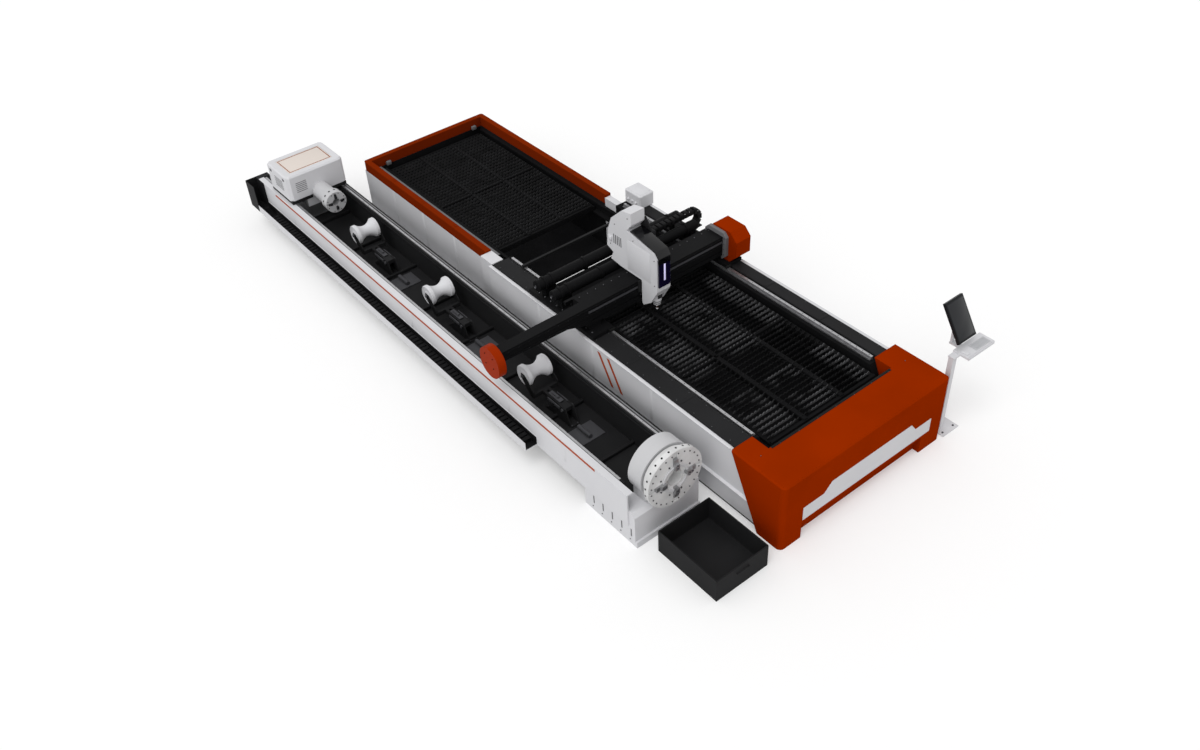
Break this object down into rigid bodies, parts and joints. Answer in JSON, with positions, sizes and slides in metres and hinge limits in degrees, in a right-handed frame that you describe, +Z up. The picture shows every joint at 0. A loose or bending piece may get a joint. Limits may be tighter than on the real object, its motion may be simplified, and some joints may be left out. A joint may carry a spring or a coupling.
{
  "type": "flat bed and tube laser cutting machine",
  "caption": "flat bed and tube laser cutting machine with shuttle pallets, a gantry reaching over a side tube bed, turning chucks and roller supports",
  "frame": {"origin": "middle of the footprint, on the floor", "axes": "+X to the operator's right, +Y from the operator towards the exchange table, +Z up"},
  "size_m": [4.88, 10.56, 2.36],
  "materials": {
    "rust_paint": "satin",
    "white_paint": "satin",
    "black_paint": "matt",
    "dark_steel": "matt",
    "rail_steel": "ground",
    "slat_steel": "cut",
    "copper_trim": "satin",
    "chain_plastic": "matt",
    "glossy_black": "gloss",
    "chuck_steel": "satin",
    "screen_plastic": "satin",
    "light_grey": "satin"
  },
  "bodies": {
    "machine": {"front_casing": "rust_paint", "casing_inlay": "white_paint", "bed_frame": "dark_steel", "side_panel_left": "white_paint", "side_panel_right": "white_paint", "side_stripes": "copper_trim", "deck_covers": "black_paint", "linear_rails": "rail_steel", "corner_blocks": "white_paint", "drive_box": "light_grey", "rear_cross_bar": "black_paint", "exchange_frame": "dark_steel", "exchange_skirt": "white_paint", "exchange_rim": "rust_paint", "pallet_tracks": "black_paint", "tube_bed": "black_paint", "tube_side_cover": "white_paint", "chain_trough": "white_paint", "side_chain": "chain_plastic", "rear_chain_guard": "black_paint", "front_base": "white_paint", "front_chuck_housing": "chuck_steel", "support_brackets": "black_paint", "scrap_bin": "black_paint", "console_stand": "light_grey"},
    "gantry": {"gantry_beam": "black_paint", "arm_cap": "rust_paint", "end_housing": "rust_paint", "housing_bracket": "light_grey", "gantry_carriages": "black_paint", "gantry_bars": "black_paint", "x_chain": "chain_plastic"},
    "head": {"head_carriage": "black_paint", "head_housing": "white_paint", "head_panel": "glossy_black"},
    "z_head": {"cutting_head": "light_grey"},
    "pallet_a": {"pallet_frame_a": "dark_steel", "pallet_slats_a": "slat_steel"},
    "pallet_b": {"pallet_frame_b": "dark_steel", "pallet_slats_b": "slat_steel"},
    "rear_carriage": {"rear_chuck_base": "black_paint", "rear_chuck_box": "white_paint"},
    "rear_spindle": {"rear_chuck": "chuck_steel"},
    "front_spindle": {"front_chuck": "chuck_steel"},
    "console_head": {"console_tray": "light_grey"},
    "screen": {"monitor": "screen_plastic"},
    "front_grip_1": {"front_jaw_1": "rail_steel"},
    "rear_grip_1": {"rear_jaw_1": "rail_steel"},
    "front_grip_2": {"front_jaw_2": "rail_steel"},
    "rear_grip_2": {"rear_jaw_2": "rail_steel"},
    "front_grip_3": {"front_jaw_3": "rail_steel"},
    "rear_grip_3": {"rear_jaw_3": "rail_steel"},
    "front_grip_4": {"front_jaw_4": "rail_steel"},
    "rear_grip_4": {"rear_jaw_4": "rail_steel"},
    "swing_1": {"support_arm_1": "black_paint"},
    "spin_1": {"roller_1": "white_paint"},
    "swing_2": {"support_arm_2": "black_paint"},
    "spin_2": {"roller_2": "white_paint"},
    "swing_3": {"support_arm_3": "black_paint"},
    "spin_3": {"roller_3": "white_paint"}
  },
  "joints": [
    {"name": "gantry_travel", "type": "slide", "parent": "machine", "child": "gantry", "axis": [0, 1, 0], "range_m": [-2.6, 0.45]},
    {"name": "head_travel", "type": "slide", "parent": "gantry", "child": "head", "axis": [1, 0, 0], "range_m": [-1.75, 1.15]},
    {"name": "nozzle_lift", "type": "slide", "parent": "head", "child": "z_head", "axis": [0, 0, 1], "range_m": [-0.08, 0.12]},
    {"name": "pallet_a_travel", "type": "slide", "parent": "machine", "child": "pallet_a", "axis": [0, 1, 0], "range_m": [0, 5.45]},
    {"name": "pallet_b_travel", "type": "slide", "parent": "machine", "child": "pallet_b", "axis": [0, 1, 0], "range_m": [-5.45, 0]},
    {"name": "rear_carriage_travel", "type": "slide", "parent": "machine", "child": "rear_carriage", "axis": [0, 1, 0], "range_m": [-0.55, 0.1]},
    {"name": "rear_chuck_turn", "type": "hinge", "parent": "rear_carriage", "child": "rear_spindle", "pos_m": [-1.72, 3.78, 0.86], "axis": [0, 1, 0], "continuous": true},
    {"name": "front_chuck_turn", "type": "hinge", "parent": "machine", "child": "front_spindle", "pos_m": [-1.72, -4.12, 0.86], "axis": [0, 1, 0], "continuous": true},
    {"name": "front_jaw_1_travel", "type": "slide", "parent": "front_spindle", "child": "front_grip_1", "axis": [1, 0, 0], "range_m": [-0.03, 0.08]},
    {"name": "front_jaw_2_travel", "type": "slide", "parent": "front_spindle", "child": "front_grip_2", "axis": [0, 0, 1], "range_m": [-0.03, 0.08]},
    {"name": "front_jaw_3_travel", "type": "slide", "parent": "front_spindle", "child": "front_grip_3", "axis": [-1, 0, 0], "range_m": [-0.03, 0.08]},
    {"name": "front_jaw_4_travel", "type": "slide", "parent": "front_spindle", "child": "front_grip_4", "axis": [0, 0, -1], "range_m": [-0.03, 0.08]},
    {"name": "rear_jaw_1_travel", "type": "slide", "parent": "rear_spindle", "child": "rear_grip_1", "axis": [1, 0, 0], "range_m": [-0.01, 0.025]},
    {"name": "rear_jaw_2_travel", "type": "slide", "parent": "rear_spindle", "child": "rear_grip_2", "axis": [0, 0, 1], "range_m": [-0.01, 0.025]},
    {"name": "rear_jaw_3_travel", "type": "slide", "parent": "rear_spindle", "child": "rear_grip_3", "axis": [-1, 0, 0], "range_m": [-0.01, 0.025]},
    {"name": "rear_jaw_4_travel", "type": "slide", "parent": "rear_spindle", "child": "rear_grip_4", "axis": [0, 0, -1], "range_m": [-0.01, 0.025]},
    {"name": "support_arm_1_swing", "type": "hinge", "parent": "machine", "child": "swing_1", "pos_m": [-1.72, -2.18, 0.54], "axis": [1, 0, 0], "range_deg": [-18, 3]},
    {"name": "roller_1_spin", "type": "hinge", "parent": "swing_1", "child": "spin_1", "pos_m": [-1.72, -1.54, 0.75], "axis": [1, 0, 0], "continuous": true},
    {"name": "support_arm_2_swing", "type": "hinge", "parent": "machine", "child": "swing_2", "pos_m": [-1.72, 0.06928, 0.54], "axis": [1, 0, 0], "range_deg": [-18, 3]},
    {"name": "roller_2_spin", "type": "hinge", "parent": "swing_2", "child": "spin_2", "pos_m": [-1.72, 0.70928, 0.75], "axis": [1, 0, 0], "continuous": true},
    {"name": "support_arm_3_swing", "type": "hinge", "parent": "machine", "child": "swing_3", "pos_m": [-1.72, 2.08, 0.54], "axis": [1, 0, 0], "range_deg": [-18, 3]},
    {"name": "roller_3_spin", "type": "hinge", "parent": "swing_3", "child": "spin_3", "pos_m": [-1.72, 2.72, 0.75], "axis": [1, 0, 0], "continuous": true},
    {"name": "console_swivel", "type": "hinge", "parent": "machine", "child": "console_head", "pos_m": [1.88, -5.1, 1.16], "axis": [0, 0, 1], "range_deg": [-60, 60]},
    {"name": "screen_tilt", "type": "hinge", "parent": "console_head", "child": "screen", "pos_m": [2.07, -4.933, 1.532], "axis": [1, 0, 0], "range_deg": [-15, 15]}
  ],
  "couplings": [
    {"joint": "pallet_b_travel", "follows": "pallet_a_travel", "ratio": -1},
    {"joint": "rear_chuck_turn", "follows": "front_chuck_turn", "ratio": 1},
    {"joint": "front_jaw_2_travel", "follows": "front_jaw_1_travel", "ratio": 1},
    {"joint": "rear_jaw_2_travel", "follows": "rear_jaw_1_travel", "ratio": 1},
    {"joint": "front_jaw_3_travel", "follows": "front_jaw_1_travel", "ratio": 1},
    {"joint": "rear_jaw_3_travel", "follows": "rear_jaw_1_travel", "ratio": 1},
    {"joint": "front_jaw_4_travel", "follows": "front_jaw_1_travel", "ratio": 1},
    {"joint": "rear_jaw_4_travel", "follows": "rear_jaw_1_travel", "ratio": 1}
  ]
}
